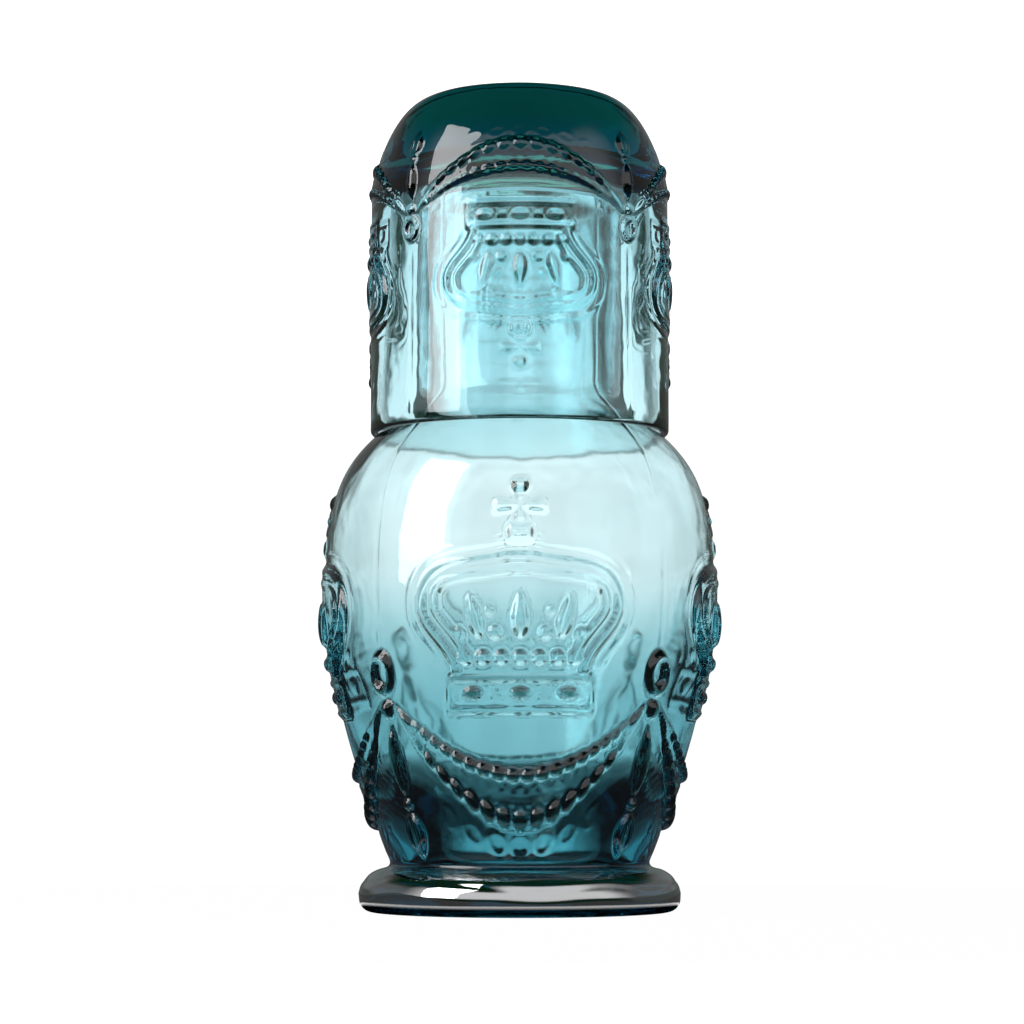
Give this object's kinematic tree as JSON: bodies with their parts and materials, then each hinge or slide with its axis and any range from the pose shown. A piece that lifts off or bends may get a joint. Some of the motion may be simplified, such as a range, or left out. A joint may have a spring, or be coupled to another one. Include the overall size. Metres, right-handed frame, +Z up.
{
  "type": "bedside carafe with tumbler",
  "caption": "Footed pressed-glass bedside carafe with a matching tumbler upturned over its neck as a lid, both with crown and garland relief, for keeping drinking water at hand.",
  "frame": {"origin": "centre of the foot on the table", "axes": "+Z up along the common axis of the carafe and the tumbler; a crown faces -Y, and the other three face +X, +Y and -X"},
  "size_m": [0.1068, 0.1068, 0.2156],
  "materials": {
    "carafe_glass": "clear teal pressed glass, fire polished",
    "tumbler_glass": "clear teal pressed glass, fire polished"
  },
  "bodies": {
    "carafe": {"carafe": "carafe_glass"},
    "tumbler": {"tumbler": "tumbler_glass"}
  },
  "joints": [
    {"name": "tumbler_lift", "type": "slide", "parent": "carafe", "child": "tumbler", "axis": [0, 0, 1], "range_m": [0, 0.09]}
  ]
}
